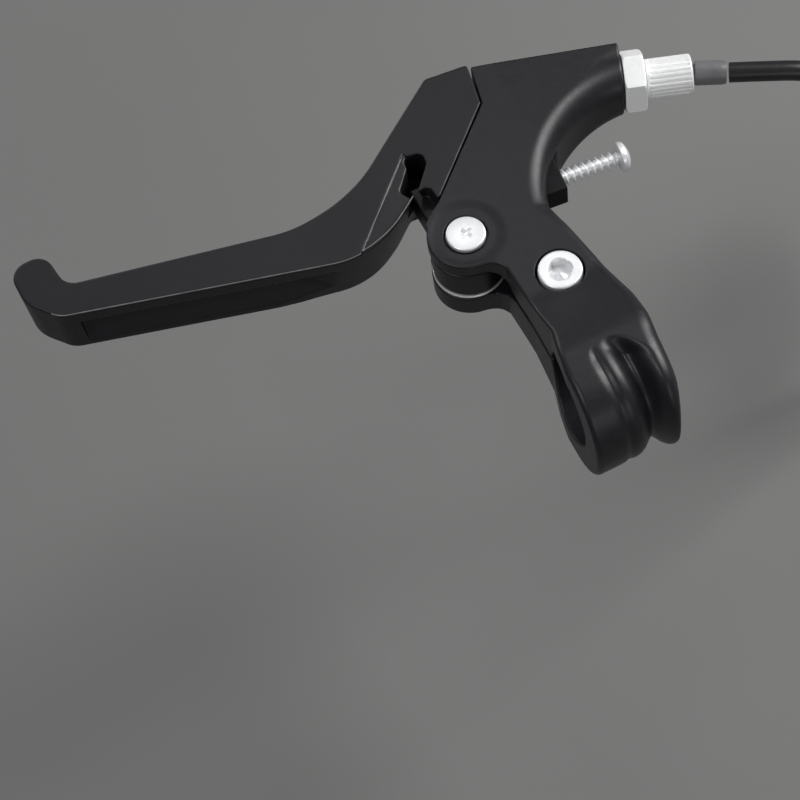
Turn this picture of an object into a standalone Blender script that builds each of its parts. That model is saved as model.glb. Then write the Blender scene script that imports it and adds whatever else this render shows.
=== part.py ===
"""Left-hand bicycle brake lever with its bracket, barrel adjuster and brake cable.

Frame: the origin is the centre of the handlebar clamp's bore. +X runs along the bar towards the
middle of the bicycle, +Y points forwards in the plane that the lever swings in, and +Z is the
lever's pivot direction, towards the side with the screw heads. Sizes below are in millimetres.
"""

import math

import bmesh
import bpy
from mathutils import Matrix, Vector

MM = 0.001

# Handlebar clamp
BAR_RADIUS = 11.1
CLAMP_RADIUS = 17.6
CLAMP_GROOVE = 1.8
CLAMP_LEFT = -14.5
CLAMP_RIGHT = 9.0
SLIT_HALF = 0.9

# Bracket plate and fork
PLATE_HALF = 9.4
PLATE_FAR = 12.2
END_HALF = 7.8
FORK_HALF = 5.3
EAR_RADIUS = 9.2
FORK_RADIUS = 9.8
NECK_RIGHT = -9.3
BAY_CENTRE = (33.6, 36.8)
BAY_RADIUS = 28.3

# Lever
PIVOT = (-15.1, 45.3)
BLADE_NEAR = 8.3
BLADE_FAR = 6.4
TONGUE_RADIUS = 8.8
TONGUE_BOTTOM = -4.0
TONGUE_TOP = 4.1
CHANNEL_SPAN = (-3.4, 4.6)

# Pivot hardware
PIVOT_SHANK = 2.35
PIVOT_HOLE = 2.65
PIVOT_HEAD = 4.7
PIVOT_SEAT = 5.2
BUSHING_RADIUS = 3.6
BUSHING_HOLE = 3.9
SPRING_RADIUS = 5.7
SPRING_WIRE = 0.45
SPRING_FOOT = 1.15
SPRING_TURNS = 2.1
SPRING_PITCH = 1.2

# Clamp bolt
CLAMP_BOLT = (-0.75, 25.75)
BOLT_SHANK = 2.85
BOLT_HOLE = 3.2
BOLT_HEAD = 5.2
BOLT_SOCKET = 2.9
BOLT_SEAT = 5.8
NUT_RADIUS = 5.77

# Barrel adjuster, measured along its axis from the bracket's end face
ADJUSTER = (40.2, 70.94)
ADJUSTER_ANGLE = -21.1
THREAD_RADIUS = 4.0
THREAD_DEPTH = 14.0
BARREL_BORE = 2.6
BARREL_RADIUS = 4.9
RING_RADIUS = 8.2
RING_SIDES = 6
RING_TURN = 17.9
RING_SPAN = (0.3, 5.6)
BARREL_SPAN = (5.9, 17.3)

# Cable end and inner wire
NIPPLE = (0.5, 82.0)
NIPPLE_RADIUS = 3.45
WIRE_RADIUS = 0.75
WIRE_LENGTH = 49.0
WIRE_RISE = 5.55
WIRE_SWING = 26.85

# Reach screw, measured along its axis from the end face of its nut
REACH = (13.9, 53.5)
REACH_ANGLE = -6.3
REACH_HOLE = 2.6
REACH_SHANK = 2.2
REACH_TIP = -17.5
REACH_HEAD = 15.2
REACH_HEAD_RADIUS = 3.7

# Brake housing
HOUSING_RADIUS = 2.5
FERRULE_ANGLE = -27.8
SLEEVE_RADIUS = 3.0
HOUSING_ROUTE = [
    (64.4, 60.3, 0.0),
    (72.0, 56.3, 0.0),
    (80.0, 52.1, -0.4),
    (88.0, 47.9, -3.0),
    (95.0, 44.2, -8.5),
    (100.3, 41.4, -17.0),
    (103.3, 39.9, -28.0),
    (104.5, 39.3, -40.0),
    (104.5, 39.3, -52.0),
]
COIL_RADIUS = 29.0
COIL_CENTRE = (117.8, 65.1, -70.0)
COIL_DIRECTION = (0.458, 0.889, 0.0)
COIL_WIDTH = 15.2
COIL_DEPTH = 5.4
TAIL_TOP = -90.0
TAIL_BOTTOM = -112.0


# ---------------------------------------------------------------- helpers


def unit(angle):
    """Unit vector in the XY plane at an angle in degrees from +X."""
    return Vector((math.cos(math.radians(angle)), math.sin(math.radians(angle)), 0.0))


def circle(centre, radius, count, start=0.0):
    """Corner points of a regular polygon, anticlockwise."""
    points = []
    for i in range(count):
        angle = math.radians(start) + 2 * math.pi * i / count
        points.append((centre[0] + radius * math.cos(angle), centre[1] + radius * math.sin(angle)))
    return points


def arc(centre, radius, start, end, count):
    """Points of an arc from one angle to another, in degrees."""
    points = []
    for i in range(count + 1):
        angle = math.radians(start + (end - start) * i / count)
        points.append((centre[0] + radius * math.cos(angle), centre[1] + radius * math.sin(angle)))
    return points


def rounded(corners, segments=5):
    """Outline through corners (x, y, radius), each turned into an arc of its radius."""
    points = []
    count = len(corners)
    for i, (x, y, radius) in enumerate(corners):
        here = Vector((x, y))
        back = (Vector(corners[i - 1][:2]) - here).normalized()
        ahead = (Vector(corners[(i + 1) % count][:2]) - here).normalized()
        half = back.angle(ahead) / 2
        if radius == 0 or half > math.radians(88):
            points.append((x, y))
            continue
        reach = radius / math.tan(half)
        centre = here + (back + ahead).normalized() * radius / math.sin(half)
        first = here + back * reach - centre
        last = here + ahead * reach - centre
        turn = first.angle_signed(last)
        for step in range(segments + 1):
            spoke = first.copy()
            spoke.rotate(Matrix.Rotation(-turn * step / segments, 2))
            points.append(tuple(centre + spoke))
    return points


def principled(name, colour, roughness, metallic):
    material = bpy.data.materials.new(name)
    material.use_nodes = True
    shader = material.node_tree.nodes["Principled BSDF"]
    shader.inputs["Base Color"].default_value = (*colour, 1.0)
    shader.inputs["Roughness"].default_value = roughness
    shader.inputs["Metallic"].default_value = metallic
    material.diffuse_color = (*colour, 1.0)
    return material


def add_object(name, bm, material, origin=(0.0, 0.0, 0.0), direction=None):
    """Turn a bmesh in millimetres into an object in metres at origin, local Z along direction."""
    bmesh.ops.recalc_face_normals(bm, faces=bm.faces)
    bmesh.ops.scale(bm, vec=(MM, MM, MM), verts=bm.verts)
    mesh = bpy.data.meshes.new(name)
    bm.to_mesh(mesh)
    bm.free()
    mesh.materials.append(material)
    obj = bpy.data.objects.new(name, mesh)
    bpy.context.collection.objects.link(obj)
    obj.location = Vector(origin) * MM
    if direction is not None:
        obj.rotation_mode = "QUATERNION"
        obj.rotation_quaternion = Vector(direction).to_track_quat("Z", "Y")
    return obj


def smooth(obj, angle=40.0):
    obj.data.shade_smooth()
    obj.data.set_sharp_from_angle(angle=math.radians(angle))
    return obj


def prism(points, low, high, offset=(0.0, 0.0)):
    """Closed prism on an XY outline between two heights, moved by minus offset."""
    bm = bmesh.new()
    lower = [bm.verts.new((x - offset[0], y - offset[1], low)) for x, y in points]
    upper = [bm.verts.new((x - offset[0], y - offset[1], high)) for x, y in points]
    bm.faces.new(reversed(lower))
    bm.faces.new(upper)
    for i in range(len(points)):
        j = (i + 1) % len(points)
        bm.faces.new((lower[i], lower[j], upper[j], upper[i]))
    return bm


def side_prism(points, low, high):
    """Closed prism on an XZ outline between two Y values."""
    bm = prism(points, low, high)
    for vert in bm.verts:
        x, z, y = vert.co
        vert.co = (x, y, z)
    return bm


def turned(profile, segments, start=0.0):
    """Solid or ring turned about Z from a profile of (radius, height).

    A profile that starts and ends at radius 0 is a solid. Any other is closed onto itself.
    """
    bm = bmesh.new()
    rings = []
    for radius, height in profile:
        if radius == 0:
            rings.append([bm.verts.new((0, 0, height))])
        else:
            corners = circle((0, 0), radius, segments, start)
            rings.append([bm.verts.new((x, y, height)) for x, y in corners])
    pairs = list(zip(rings, rings[1:]))
    if profile[0][0] != 0:
        pairs.append((rings[-1], rings[0]))
    for first, second in pairs:
        for i in range(segments):
            j = (i + 1) % segments
            loop = [first[i % len(first)], first[j % len(first)]]
            loop += [second[j % len(second)], second[i % len(second)]]
            corners = list(dict.fromkeys(loop))
            if len(corners) > 2:
                bm.faces.new(corners)
    return bm


def tube_curve(name, points, radius, resolution, material):
    """Round cord along points in millimetres, with filled ends."""
    curve = bpy.data.curves.new(name, "CURVE")
    curve.dimensions = "3D"
    curve.bevel_depth = radius * MM
    curve.bevel_resolution = resolution
    curve.use_fill_caps = True
    spline = curve.splines.new("POLY")
    spline.points.add(len(points) - 1)
    for target, point in zip(spline.points, points):
        target.co = (*(Vector(point) * MM), 1.0)
    curve.materials.append(material)
    obj = bpy.data.objects.new(name, curve)
    bpy.context.collection.objects.link(obj)
    return obj


def smooth_route(points, steps):
    """Points on a Catmull-Rom curve through the route's own points."""
    ends = [points[0]] + list(points) + [points[-1]]
    route = [Vector(p) for p in ends]
    result = []
    for i in range(1, len(route) - 2):
        a, b, c, d = route[i - 1 : i + 3]
        for step in range(steps):
            t = step / steps
            straight = 2 * b + (c - a) * t
            bend = (2 * a - 5 * b + 4 * c - d) * t**2 + (3 * b - a - 3 * c + d) * t**3
            result.append((straight + bend) / 2)
    result.append(route[-2])
    return result


def combine(obj, tool, operation):
    """Boolean of obj with a tool that stays hidden and out of the model."""
    tool.hide_render = True
    tool.display_type = "WIRE"
    modifier = obj.modifiers.new(tool.name, "BOOLEAN")
    modifier.operation = operation
    modifier.solver = "EXACT"
    modifier.object = tool


def cut(obj, name, bm, origin=(0.0, 0.0, 0.0), direction=None):
    tool = add_object("cutter_" + name, bm, obj.data.materials[0], origin, direction)
    combine(obj, tool, "DIFFERENCE")


def join(obj, name, bm, origin=(0.0, 0.0, 0.0), direction=None):
    tool = add_object("joined_" + name, bm, obj.data.materials[0], origin, direction)
    combine(obj, tool, "UNION")


def rod(radius, low, high, segments=24, start=0.0):
    return turned([(0, low), (radius, low), (radius, high), (0, high)], segments, start)


def flat(point, height=0.0):
    return (point[0], point[1], height)


def along(origin, angle, distance):
    """Point at a distance from origin in the direction of an angle in the XY plane."""
    return Vector(flat(origin)) + unit(angle) * distance


# ---------------------------------------------------------------- bracket


def bracket_outline():
    """Arm from the clamp to the adjuster, with the concave bay beside the reach screw."""
    direction = unit(ADJUSTER_ANGLE)
    normal = Vector((-direction.y, direction.x, 0.0))
    end = Vector(flat(ADJUSTER))
    top = end + normal * 7.0
    bottom = end - normal * 6.8
    outline = [(-11.2, -4.0), (-11.2, 32.5)]
    outline += arc(PIVOT, EAR_RADIUS, -72, -226.5, 18)
    outline += [(5.2, 76.4), (7.6, 87.4)]
    outline += [(top.x, top.y), (bottom.x, bottom.y)]
    outline += arc(BAY_CENTRE, BAY_RADIUS, 83, 165, 10)
    outline += [(8.0, 31.0), (10.0, 12.0), (8.4, -4.0)]
    return outline


def clamp_profile():
    """Clamp ring seen along the bar: two lobes with a shallow groove between them."""
    return [
        (0, CLAMP_LEFT),
        (CLAMP_RADIUS - 1.0, CLAMP_LEFT),
        (CLAMP_RADIUS, CLAMP_LEFT + 1.0),
        (CLAMP_RADIUS, -6.0),
        (CLAMP_RADIUS - CLAMP_GROOVE, -3.0),
        (CLAMP_RADIUS - CLAMP_GROOVE, 0.5),
        (CLAMP_RADIUS, 3.0),
        (CLAMP_RADIUS, 6.0),
        (CLAMP_RADIUS - 3.0, CLAMP_RIGHT),
        (0, CLAMP_RIGHT),
    ]


def cut_fork(bracket):
    """Room between the ears for the lever's tongue, and the clamp's slit below it."""
    open_angle = math.degrees(math.acos((NECK_RIGHT - PIVOT[0]) / FORK_RADIUS))
    fork = arc(PIVOT, FORK_RADIUS, open_angle, -90, 18)
    fork += [(-40, PIVOT[1] - FORK_RADIUS), (-40, 68), (NECK_RIGHT, 68)]
    cut(bracket, "fork", prism(fork, -FORK_HALF, FORK_HALF))
    slit = [(-30, -0.1), (30, -0.1), (30, 38), (-30, 38)]
    cut(bracket, "slit", prism(slit, -SLIT_HALF, SLIT_HALF))


def cut_pivot_holes(bracket):
    for name, radius, low, high in (
        ("pivot_hole", PIVOT_HOLE, -14, 12),
        ("pivot_head_seat", PIVOT_SEAT, 7.9, 12),
        ("pivot_nut_seat", PIVOT_SEAT, -14, -6.3),
    ):
        cut(bracket, name, rod(radius, low, high, 28), flat(PIVOT))


def cut_bolt_holes(bracket):
    cut(bracket, "bolt_hole", rod(BOLT_HOLE, -14, 12), flat(CLAMP_BOLT))
    cut(bracket, "bolt_head_seat", rod(BOLT_SEAT, 5.2, 12, 28), flat(CLAMP_BOLT))
    cut(bracket, "bolt_nut_seat", rod(NUT_RADIUS + 0.5, -14, -4.8, 6), flat(CLAMP_BOLT))


def cut_adjuster(bracket):
    """Hole for the adjuster's thread, and the passage that the inner wire swings in."""
    end = flat(ADJUSTER)
    hole = rod(THREAD_RADIUS + 0.4, -THREAD_DEPTH - 1.2, 2)
    cut(bracket, "adjuster_hole", hole, end, unit(ADJUSTER_ANGLE))
    direction = unit(ADJUSTER_ANGLE)
    normal = Vector((-direction.y, direction.x, 0.0))
    start = Vector(end) - direction * 13.0 - normal * 0.3
    finish = Vector(end) - direction * 45.0 - normal * 4.6
    side = (finish - start).normalized().cross(Vector((0, 0, 1))) * 2.5
    corners = [start - side, finish - side, finish + side, start + side]
    cut(bracket, "wire_passage", prism([(p.x, p.y) for p in corners], -2.5, 2.5))


def cut_reach(bracket):
    """Pocket for the reach screw's nut and the hole that the screw runs through."""
    axis = unit(REACH_ANGLE)
    cut(bracket, "reach_hole", rod(REACH_HOLE, -30, 3, 20), flat(REACH), axis)
    pocket = [(-8.4, -5.5), (2.0, -5.5), (2.0, 5.5), (-8.4, 5.5)]
    turn = Matrix.Rotation(math.radians(REACH_ANGLE), 2)
    corners = [Vector(REACH) + turn @ Vector(p) for p in pocket]
    cut(bracket, "reach_pocket", prism([tuple(p) for p in corners], -3.7, 3.7))


def taper_cutters(obj, name, start, end, limit):
    """Thin the plate on both faces towards the adjuster, along X."""
    above = PLATE_FAR + 6
    for side, sign, half in (("near", 1, PLATE_HALF), ("far", -1, PLATE_FAR)):
        outline = [(start, half), (end, END_HALF), (limit, END_HALF), (limit, above), (start, above)]
        points = [(x, z * sign) for x, z in outline]
        cut(obj, name + side, side_prism(points, -150, 150))


def make_bracket(material):
    bm = prism(bracket_outline(), -PLATE_FAR, PLATE_HALF)
    bracket = add_object("bracket", bm, material)
    taper_cutters(bracket, "taper_", 12, 44, 80)
    join(bracket, "clamp", turned(clamp_profile(), 40), (0, 0, 0), (1, 0, 0))
    cut(bracket, "bar_bore", rod(BAR_RADIUS, -40, 40, 40), (0, 0, 0), (1, 0, 0))
    cut_fork(bracket)
    cut_pivot_holes(bracket)
    cut_bolt_holes(bracket)
    cut_adjuster(bracket)
    cut_reach(bracket)
    return bracket


# ---------------------------------------------------------------- lever


def lever_outline():
    """Lever seen from above: head beside the seam, cranked blade and hooked tip."""
    return rounded(
        [
            (7.0, 88.6, 0.8),
            (-3.8, 89.9, 1.5),
            (-33.0, 68.9, 36.0),
            (-50.0, 67.2, 30.0),
            (-103.4, 80.2, 4.5),
            (-104.8, 91.0, 4.3),
            (-114.3, 90.8, 4.4),
            (-113.9, 80.0, 9.0),
            (-107.8, 72.4, 7.0),
            (-41.5, 52.4, 20.0),
            (-31.0, 53.4, 22.0),
            (-21.8, 60.4, 0.6),
            (-20.6, 62.9, 2.0),
            (-16.4, 62.9, 2.0),
            (-16.6, 57.0, 0.6),
            (4.7, 76.9, 1.0),
        ]
    )


def cut_channel(lever):
    """Groove along the side of the blade that faces the grip."""
    outline = [(-103.4, 74.8), (-105.5, 60.0), (-38.0, 43.0), (-43.0, 52.9), (-56.0, 60.6)]
    cut(lever, "channel", prism(outline, *CHANNEL_SPAN, PIVOT), flat(PIVOT))


def cut_recess(lever):
    """Sloping facet in the lever's face, running down into a round-ended window."""
    facet = [(-38.2, 53.2, 9.0), (-21.5, 60.6, 6.4), (-15.2, 69.5, 5.6), (-19.2, 73.6, 8.6)]
    bm = bmesh.new()
    lower = [bm.verts.new((x - PIVOT[0], y - PIVOT[1], z)) for x, y, z in facet]
    upper = [bm.verts.new((x - PIVOT[0], y - PIVOT[1], 14)) for x, y, z in facet]
    bm.faces.new((lower[0], lower[2], lower[1]))
    bm.faces.new((lower[0], lower[3], lower[2]))
    bm.faces.new(upper)
    for i in range(4):
        j = (i + 1) % 4
        bm.faces.new((lower[i], lower[j], upper[j], upper[i]))
    cut(lever, "facet", bm, flat(PIVOT))
    window = rounded(
        [(-22.3, 66.4, 1.6), (-19.0, 64.6, 1.6), (-13.2, 71.6, 2.4), (-17.6, 75.2, 2.4)]
    )
    cut(lever, "window", prism(window, -2.0, 14, PIVOT), flat(PIVOT))


def cut_cable_seat(lever):
    """Pocket for the cable's nipple and the fan-shaped slot that its wire swings in."""
    cut(lever, "nipple_pocket", rod(NIPPLE_RADIUS + 0.3, -12, 3.6), flat(NIPPLE))
    shallow = unit(ADJUSTER_ANGLE + WIRE_RISE)
    steep = unit(ADJUSTER_ANGLE + WIRE_RISE - WIRE_SWING)
    above = Vector((-shallow.y, shallow.x, 0)) * 1.2
    below = Vector((steep.y, -steep.x, 0)) * 1.2
    centre = Vector(flat(NIPPLE))
    fan = [centre + below, centre + below + steep * 16, centre + above + shallow * 16]
    fan.append(centre + above)
    outline = [(p.x, p.y) for p in fan]
    cut(lever, "wire_fan", prism(outline, -12, 1.3, PIVOT), flat(PIVOT))


def tongue():
    """Round boss that turns between the ears, and the neck that ties it to the lever's head."""
    half_neck = NECK_RIGHT - 0.6 - PIVOT[0]
    rise = math.degrees(math.acos(half_neck / TONGUE_RADIUS))
    outline = arc((0, 0), TONGUE_RADIUS, rise, -180 - rise, 32)
    outline += [(-half_neck, 20.7), (half_neck, 20.7)]
    return prism(outline, TONGUE_BOTTOM, TONGUE_TOP)


def make_lever(material):
    bm = prism(lever_outline(), -PLATE_HALF, PLATE_HALF, PIVOT)
    lever = add_object("lever_blade", bm, material, flat(PIVOT))
    for side, sign, half in (("near", 1, BLADE_NEAR), ("far", -1, BLADE_FAR)):
        outline = [(-20, PLATE_HALF), (-50, half), (-130, half), (-130, 16), (-20, 16)]
        points = [(x - PIVOT[0], z * sign) for x, z in outline]
        cut(lever, "thin_" + side, side_prism(points, -60, 60), flat(PIVOT))
    cut_channel(lever)
    cut_recess(lever)
    join(lever, "tongue", tongue(), flat(PIVOT))
    bore = [(0, -8), (BUSHING_HOLE, -8), (BUSHING_HOLE, 0.4), (7.4, 0.4), (7.4, 8), (0, 8)]
    cut(lever, "pivot_bore", turned(bore, 28), flat(PIVOT))
    cut_cable_seat(lever)
    return lever


# ---------------------------------------------------------------- pivot hardware


def make_pivot_screw(material):
    """Flat head with a shallow cross recess, and a plain shank."""
    profile = [(0, -9.0), (PIVOT_SHANK, -9.0), (PIVOT_SHANK, 8.2), (PIVOT_HEAD, 8.2)]
    profile += [(PIVOT_HEAD, 9.5), (PIVOT_HEAD - 0.4, 9.9), (0, 9.9)]
    screw = add_object("pivot_screw", turned(profile, 28), material, flat(PIVOT))
    for i, angle in enumerate((25, 115)):
        along_slot = unit(angle) * 1.5
        across = unit(angle + 90) * 0.35
        corners = [along_slot + across, across - along_slot]
        corners += [-along_slot - across, along_slot - across]
        slot = prism([(p.x, p.y) for p in corners], 9.0, 11.0)
        cut(screw, f"pivot_cross_{i}", slot, flat(PIVOT))
    return smooth(screw)


def make_nut(name, centre, radius, bore, low, high, material):
    """Hexagon nut with a round bore."""
    bm = turned([(bore, low), (radius, low), (radius, high), (bore, high)], 24)
    for vert in bm.verts:
        angle = math.atan2(vert.co.y, vert.co.x)
        if vert.co.xy.length > (bore + radius) / 2:
            from_flat = (angle % math.radians(60)) - math.radians(30)
            size = radius * math.cos(math.radians(30)) / math.cos(from_flat)
            vert.co.x = size * math.cos(angle)
            vert.co.y = size * math.sin(angle)
    return add_object(name, bm, material, flat(centre))


def make_washer(name, inner, outer, low, high, material):
    bm = turned([(inner, low), (outer, low), (outer, high), (inner, high)], 32)
    return smooth(add_object(name, bm, material, flat(PIVOT)))


def make_return_spring(material):
    """Coils of the torsion spring that opens the lever, wound round the bushing."""
    steps = int(SPRING_TURNS * 16)
    points = []
    for i in range(steps + 1):
        angle = 2 * math.pi * i / 16
        height = SPRING_FOOT + SPRING_PITCH * i / 16
        x = PIVOT[0] + SPRING_RADIUS * math.cos(angle)
        y = PIVOT[1] + SPRING_RADIUS * math.sin(angle)
        points.append((x, y, height))
    return tube_curve("return_spring", points, SPRING_WIRE, 1, material)


# ---------------------------------------------------------------- clamp bolt


def make_clamp_bolt(material):
    profile = [(0, -8.6), (BOLT_SHANK, -8.6), (BOLT_SHANK, 5.5), (BOLT_HEAD, 5.5)]
    profile += [(BOLT_HEAD, 9.5), (BOLT_HEAD - 0.5, 10.0), (0, 10.0)]
    bolt = add_object("clamp_bolt", turned(profile, 28), material, flat(CLAMP_BOLT))
    cut(bolt, "bolt_socket", rod(BOLT_SOCKET, 7.2, 12, 6, 10), flat(CLAMP_BOLT))
    return smooth(bolt)


# ---------------------------------------------------------------- reach adjuster


def make_reach_nut(material):
    """Square block in the bracket's bay that the reach screw is threaded through."""
    bm = prism([(-8.0, -5.1), (0.0, -5.1), (0.0, 5.1), (-8.0, 5.1)], -3.3, 3.3)
    nut = add_object("reach_nut", bm, material, flat(REACH))
    nut.rotation_euler.z = math.radians(REACH_ANGLE)
    cut(nut, "reach_nut_bore", rod(REACH_HOLE, -20, 20, 20), flat(REACH), unit(REACH_ANGLE))
    return nut


def make_reach_screw(material):
    head = REACH_HEAD
    profile = [(0, REACH_TIP), (REACH_SHANK, REACH_TIP), (REACH_SHANK, head), (REACH_HEAD_RADIUS, head)]
    profile += [(REACH_HEAD_RADIUS, head + 0.8), (2.9, head + 1.9), (1.6, head + 2.5), (0, head + 2.6)]
    screw = add_object("reach_screw", turned(profile, 20), material, flat(REACH), unit(REACH_ANGLE))
    for i, angle in enumerate((0, 90)):
        along_slot = unit(angle) * 1.4
        across = unit(angle + 90) * 0.35
        corners = [along_slot + across, across - along_slot]
        corners += [-along_slot - across, along_slot - across]
        slot = prism([(p.x, p.y) for p in corners], head + 1.4, head + 4)
        cut(screw, f"reach_cross_{i}", slot, flat(REACH), unit(REACH_ANGLE))
    return smooth(screw)


def make_reach_pad(material):
    profile = [(0, REACH_TIP - 3.1), (1.6, REACH_TIP - 3.1), (2.2, REACH_TIP - 2.5)]
    profile += [(2.2, REACH_TIP - 0.3), (0, REACH_TIP - 0.3)]
    bm = turned(profile, 20)
    return smooth(add_object("reach_pad", bm, material, flat(REACH), unit(REACH_ANGLE)))


# ---------------------------------------------------------------- cable adjuster


def make_lock_ring(material):
    low, high = RING_SPAN
    inner = (THREAD_RADIUS + 0.3) / math.cos(math.pi / RING_SIDES)
    profile = [(inner, low), (RING_RADIUS, low), (RING_RADIUS, high), (inner, high)]
    bm = turned(profile, RING_SIDES, RING_TURN)
    return add_object("lock_ring", bm, material, flat(ADJUSTER), unit(ADJUSTER_ANGLE))


def make_barrel(material):
    """Hollow threaded shank with a ribbed barrel on its outer end."""
    low, high = BARREL_SPAN
    ribs = 24
    bm = bmesh.new()
    sections = [(-THREAD_DEPTH, THREAD_RADIUS, 0.0), (low, THREAD_RADIUS, 0.0)]
    sections += [(low, BARREL_RADIUS, 0.35), (high, BARREL_RADIUS, 0.35)]
    rings = []
    for height, radius, depth in sections:
        ring = []
        for i in range(2 * ribs):
            angle = math.pi * i / ribs
            size = radius - depth * (i % 2)
            ring.append(bm.verts.new((size * math.cos(angle), size * math.sin(angle), height)))
        rings.append(ring)
    for height in (high, -THREAD_DEPTH):
        corners = circle((0, 0), BARREL_BORE, 2 * ribs)
        rings.append([bm.verts.new((x, y, height)) for x, y in corners])
    for k, ring in enumerate(rings):
        following = rings[(k + 1) % len(rings)]
        for i in range(2 * ribs):
            j = (i + 1) % (2 * ribs)
            bm.faces.new((ring[i], ring[j], following[j], following[i]))
    return add_object("adjuster_barrel", bm, material, flat(ADJUSTER), unit(ADJUSTER_ANGLE))


def make_ferrule(material):
    """Sleeve on the housing's end, with a spigot that sits loosely in the barrel."""
    high = BARREL_SPAN[1]
    spigot = rod(2.2, high - 4.0, high + 2.5, 20)
    ferrule = add_object("housing_ferrule", spigot, material, flat(ADJUSTER), unit(ADJUSTER_ANGLE))
    foot = along(ADJUSTER, ADJUSTER_ANGLE, high)
    sleeve = rod(SLEEVE_RADIUS, 0.75, 8.5, 20)
    join(ferrule, "sleeve", sleeve, foot, unit(FERRULE_ANGLE))
    return smooth(ferrule)


def make_nipple(material):
    profile = [(0, -3.3), (3.1, -3.3), (NIPPLE_RADIUS, -2.9), (NIPPLE_RADIUS, 2.9), (3.1, 3.3), (0, 3.3)]
    return smooth(add_object("cable_nipple", turned(profile, 24), material, flat(NIPPLE)))


def make_inner_wire(material):
    """Straight stretch of inner wire, from the nipple into the adjuster's bore."""
    direction = unit(ADJUSTER_ANGLE + WIRE_RISE)
    bm = rod(WIRE_RADIUS, NIPPLE_RADIUS + 0.35, WIRE_LENGTH, 10)
    return smooth(add_object("inner_wire", bm, material, flat(NIPPLE), direction))


# ---------------------------------------------------------------- housing


def coil_frame():
    """Matrix whose Z is the coil's axis and whose X points from the entry side across it."""
    across = Vector(COIL_DIRECTION).normalized()
    axis = across.cross(Vector((0, 0, 1)))
    rotation = Matrix((across, axis.cross(across), axis)).transposed().to_4x4()
    return Matrix.Translation(Vector(COIL_CENTRE) * MM) @ rotation


def coil_offset():
    """Shift that puts the coil's first lane under the housing's drop."""
    across = Vector(COIL_DIRECTION).normalized()
    return across.cross(Vector((0, 0, 1))) * (COIL_WIDTH / 2 - HOUSING_RADIUS - 0.1)


def make_coil(material):
    half = COIL_DEPTH / 2
    width = COIL_WIDTH / 2
    inner = COIL_RADIUS - half
    outer = COIL_RADIUS + half
    bm = turned([(inner, -width), (outer, -width), (outer, width), (inner, width)], 36)
    coil = add_object("housing_coil", bm, material)
    coil.matrix_world = coil_frame()
    coil.location += coil_offset() * MM
    return smooth(coil)


def make_coil_tie(material):
    """Flat band closed round the coil on the side away from the drop."""
    hole_x = COIL_DEPTH / 2 + 0.35
    hole_z = COIL_WIDTH / 2 + 0.35
    outline = [(-hole_x, -hole_z), (hole_x, -hole_z), (hole_x, hole_z), (-hole_x, hole_z)]
    outer = [(x + math.copysign(1.2, x), z + math.copysign(1.2, z)) for x, z in outline]
    bm = bmesh.new()
    rings = []
    for y, points in ((-1.8, outline), (-1.8, outer), (1.8, outer), (1.8, outline)):
        rings.append([bm.verts.new((x + COIL_RADIUS, y, z)) for x, z in points])
    for k, ring in enumerate(rings):
        following = rings[(k + 1) % 4]
        for i in range(4):
            j = (i + 1) % 4
            bm.faces.new((ring[i], ring[j], following[j], following[i]))
    tie = add_object("coil_tie", bm, material)
    tie.matrix_world = coil_frame()
    tie.location += coil_offset() * MM
    return tie


def tail_point(height):
    """Point of the housing's tail, one lane width beyond the coil's second turn."""
    start = Vector(HOUSING_ROUTE[-1])
    lane = coil_offset().normalized() * 4 * HOUSING_RADIUS
    return Vector((start.x + lane.x, start.y + lane.y, height))


def make_housing(rubber):
    route = smooth_route(HOUSING_ROUTE, 2)
    tube_curve("brake_housing", route, HOUSING_RADIUS, 3, rubber)
    make_coil(rubber)
    tail = [tail_point(TAIL_TOP + (TAIL_BOTTOM - TAIL_TOP) * i / 3) for i in range(4)]
    tube_curve("housing_tail", tail, HOUSING_RADIUS, 3, rubber)


def make_end_fittings(steel, aluminium):
    base = tail_point(TAIL_BOTTOM)
    down = (0, 0, -1)
    ferrule = [(0, 0.3), (2.9, 0.3), (2.9, 10.0), (2.3, 11.0), (0, 11.0)]
    smooth(add_object("end_ferrule", turned(ferrule, 20), steel, base, down))
    crimp = [(0, 11.3), (WIRE_RADIUS, 11.3), (WIRE_RADIUS, 20.0), (1.3, 20.0), (1.3, 30.0)]
    crimp += [(0.6, 31.0), (0, 31.0)]
    smooth(add_object("wire_crimp_cap", turned(crimp, 14), aluminium, base, down))


# ---------------------------------------------------------------- assembly


def clear_scene():
    for obj in list(bpy.data.objects):
        bpy.data.objects.remove(obj, do_unlink=True)


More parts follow.
